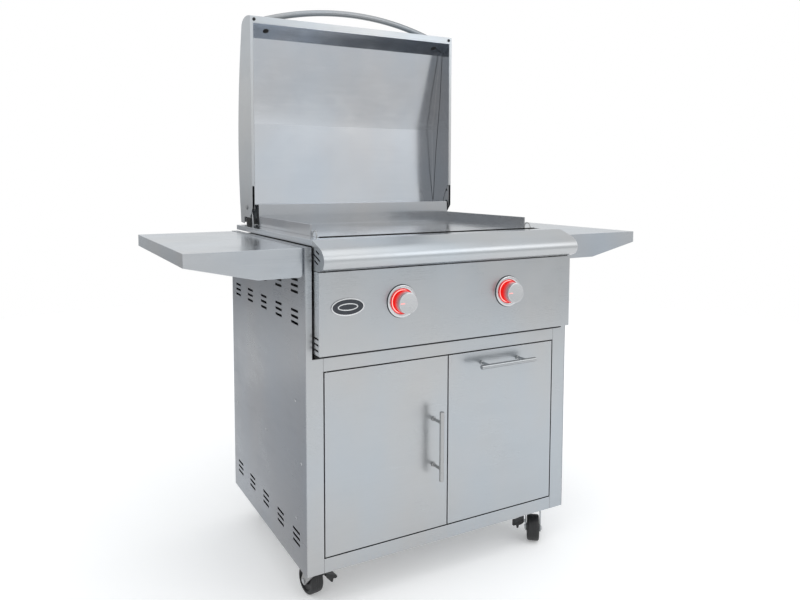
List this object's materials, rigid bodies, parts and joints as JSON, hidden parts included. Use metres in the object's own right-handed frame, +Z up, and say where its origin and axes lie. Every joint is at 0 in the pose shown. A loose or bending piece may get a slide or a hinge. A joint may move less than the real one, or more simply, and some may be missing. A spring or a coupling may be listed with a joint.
{
  "type": "flat top griddle",
  "caption": "Gas flat top griddle with a hinged hood on a wheeled cabinet cart, with a door, a tank drawer, control knobs and fold-down side shelves.",
  "frame": {"origin": "on the floor, midway between the left and right shelf ends and midway between the knobs' front and the open lid's back", "axes": "+X to the right seen from the front, +Y from the front to the back, +Z up"},
  "size_m": [1.358, 0.7314, 1.5995],
  "materials": {
    "brushed_steel": "brushed stainless steel, straight grain",
    "plate_steel": "thick stainless cooking plate, fine grain",
    "inner_steel": "plain stainless sheet, dull",
    "chrome": "polished",
    "brass": "plain machined brass",
    "black_rubber": "matte black",
    "wheel_rubber": "hard black rubber",
    "black_plastic": "moulded black plastic",
    "red_lens": "translucent red light ring",
    "emblem_enamel": "dark plain badge",
    "black_enamel": "matte black enamel"
  },
  "bodies": {
    "cart": {"cart_left_side": "brushed_steel", "cart_right_side": "brushed_steel", "cart_back_panel": "brushed_steel", "cart_floor": "inner_steel", "cart_front_frame": "brushed_steel", "left_shelf_bracket": "brushed_steel", "right_shelf_bracket": "brushed_steel", "slide_rail_left": "inner_steel", "slide_rail_right": "inner_steel", "door_hinge_pin": "brushed_steel", "front_left_caster_plate": "inner_steel", "front_right_caster_plate": "inner_steel", "rear_left_caster_plate": "inner_steel", "rear_right_caster_plate": "inner_steel", "head_deck": "brushed_steel", "firebox": "inner_steel", "control_panel": "brushed_steel", "front_roll": "brushed_steel", "left_burner": "inner_steel", "right_burner": "inner_steel", "gas_manifold": "brass", "left_bezel": "chrome", "right_bezel": "chrome", "left_light_ring": "red_lens", "right_light_ring": "red_lens", "emblem": "emblem_enamel", "left_lid_hinge": "brushed_steel", "right_lid_hinge": "brushed_steel", "grease_tray": "black_enamel"},
    "lid": {"lid_skin": "brushed_steel", "lid_liner": "brushed_steel", "lid_handle": "brushed_steel", "left_lid_bumper": "black_rubber", "right_lid_bumper": "black_rubber"},
    "griddle": {"griddle_plate": "plate_steel", "left_lifting_loop": "plate_steel", "right_lifting_loop": "plate_steel"},
    "door": {"door_panel": "brushed_steel", "door_handle": "brushed_steel"},
    "drawer": {"drawer_front": "brushed_steel", "drawer_handle": "brushed_steel", "tank_tray": "inner_steel"},
    "slide_members": {"slide_member_left": "inner_steel", "slide_member_right": "inner_steel"},
    "left_shelf_leaf": {"left_shelf": "brushed_steel"},
    "right_shelf_leaf": {"right_shelf": "brushed_steel"},
    "left_stem": {"left_valve_stem": "brushed_steel"},
    "left_knob_body": {"left_knob": "brushed_steel"},
    "right_stem": {"right_valve_stem": "brushed_steel"},
    "right_knob_body": {"right_knob": "brushed_steel"},
    "front_left_fork": {"front_left_caster_fork": "inner_steel"},
    "front_left_wheel": {"front_left_caster_wheel": "wheel_rubber"},
    "front_left_pedal": {"front_left_brake_pedal": "black_plastic"},
    "front_right_fork": {"front_right_caster_fork": "inner_steel"},
    "front_right_wheel": {"front_right_caster_wheel": "wheel_rubber"},
    "front_right_pedal": {"front_right_brake_pedal": "black_plastic"},
    "rear_left_fork": {"rear_left_caster_fork": "inner_steel"},
    "rear_left_wheel": {"rear_left_caster_wheel": "wheel_rubber"},
    "rear_right_fork": {"rear_right_caster_fork": "inner_steel"},
    "rear_right_wheel": {"rear_right_caster_wheel": "wheel_rubber"}
  },
  "joints": [
    {"name": "lid_hinge", "type": "hinge", "parent": "cart", "child": "lid", "pos_m": [0, 0.2844, 0.97], "axis": [-1, 0, 0], "range_deg": [-90, 0]},
    {"name": "griddle_lift", "type": "slide", "parent": "cart", "child": "griddle", "axis": [0, 0, 1], "range_m": [0, 0.1]},
    {"name": "door_hinge", "type": "hinge", "parent": "cart", "child": "door", "pos_m": [-0.3463, -0.2881, 0.3672], "axis": [0, 0, -1], "range_deg": [0, 105]},
    {"name": "drawer_slide", "type": "slide", "parent": "cart", "child": "drawer", "axis": [0, -1, 0], "range_m": [0, 0.42]},
    {"name": "slide_member_travel", "type": "slide", "parent": "cart", "child": "slide_members", "axis": [0, -1, 0], "range_m": [0, 0.21]},
    {"name": "left_shelf_fold", "type": "hinge", "parent": "cart", "child": "left_shelf_leaf", "pos_m": [-0.4125, 0.0029, 0.8375], "axis": [0, -1, 0], "range_deg": [0, 90]},
    {"name": "right_shelf_fold", "type": "hinge", "parent": "cart", "child": "right_shelf_leaf", "pos_m": [0.4125, 0.0029, 0.8375], "axis": [0, 1, 0], "range_deg": [0, 90]},
    {"name": "left_knob_push", "type": "slide", "parent": "cart", "child": "left_stem", "axis": [0, 1, 0], "range_m": [0, 0.004], "stiffness_N_per_m": 900},
    {"name": "left_knob_turn", "type": "hinge", "parent": "left_stem", "child": "left_knob_body", "pos_m": [-0.163, -0.3307, 0.759], "axis": [0, -1, 0], "range_deg": [0, 210]},
    {"name": "right_knob_push", "type": "slide", "parent": "cart", "child": "right_stem", "axis": [0, 1, 0], "range_m": [0, 0.004], "stiffness_N_per_m": 900},
    {"name": "right_knob_turn", "type": "hinge", "parent": "right_stem", "child": "right_knob_body", "pos_m": [0.163, -0.3307, 0.759], "axis": [0, -1, 0], "range_deg": [0, 210]},
    {"name": "front_left_swivel", "type": "hinge", "parent": "cart", "child": "front_left_fork", "pos_m": [-0.347, -0.2331, 0.1], "axis": [0, 0, 1], "continuous": true},
    {"name": "front_left_roll", "type": "hinge", "parent": "front_left_fork", "child": "front_left_wheel", "pos_m": [-0.352, -0.1975, 0.0365], "axis": [0.9903, 0.1392, 0], "continuous": true},
    {"name": "front_left_brake", "type": "hinge", "parent": "front_left_fork", "child": "front_left_pedal", "pos_m": [-0.3229, -0.2035, 0.048], "axis": [-0.1392, 0.9903, 0], "range_deg": [0, 15]},
    {"name": "front_right_swivel", "type": "hinge", "parent": "cart", "child": "front_right_fork", "pos_m": [0.347, -0.2331, 0.1], "axis": [0, 0, 1], "continuous": true},
    {"name": "front_right_roll", "type": "hinge", "parent": "front_right_fork", "child": "front_right_wheel", "pos_m": [0.3243, -0.2611, 0.0365], "axis": [-0.7771, 0.6293, 0], "continuous": true},
    {"name": "front_right_brake", "type": "hinge", "parent": "front_right_fork", "child": "front_right_pedal", "pos_m": [0.3089, -0.2357, 0.048], "axis": [-0.6293, -0.7771, 0], "range_deg": [0, 15]},
    {"name": "rear_left_swivel", "type": "hinge", "parent": "cart", "child": "rear_left_fork", "pos_m": [-0.347, 0.2389, 0.1], "axis": [0, 0, 1], "continuous": true},
    {"name": "rear_left_roll", "type": "hinge", "parent": "rear_left_fork", "child": "rear_left_wheel", "pos_m": [-0.311, 0.2389, 0.0365], "axis": [0, -1, 0], "continuous": true},
    {"name": "rear_right_swivel", "type": "hinge", "parent": "cart", "child": "rear_right_fork", "pos_m": [0.347, 0.2389, 0.1], "axis": [0, 0, 1], "continuous": true},
    {"name": "rear_right_roll", "type": "hinge", "parent": "rear_right_fork", "child": "rear_right_wheel", "pos_m": [0.311, 0.2389, 0.0365], "axis": [0, 1, 0], "continuous": true}
  ],
  "couplings": [
    {"joint": "slide_member_travel", "follows": "drawer_slide", "ratio": 0.5}
  ]
}
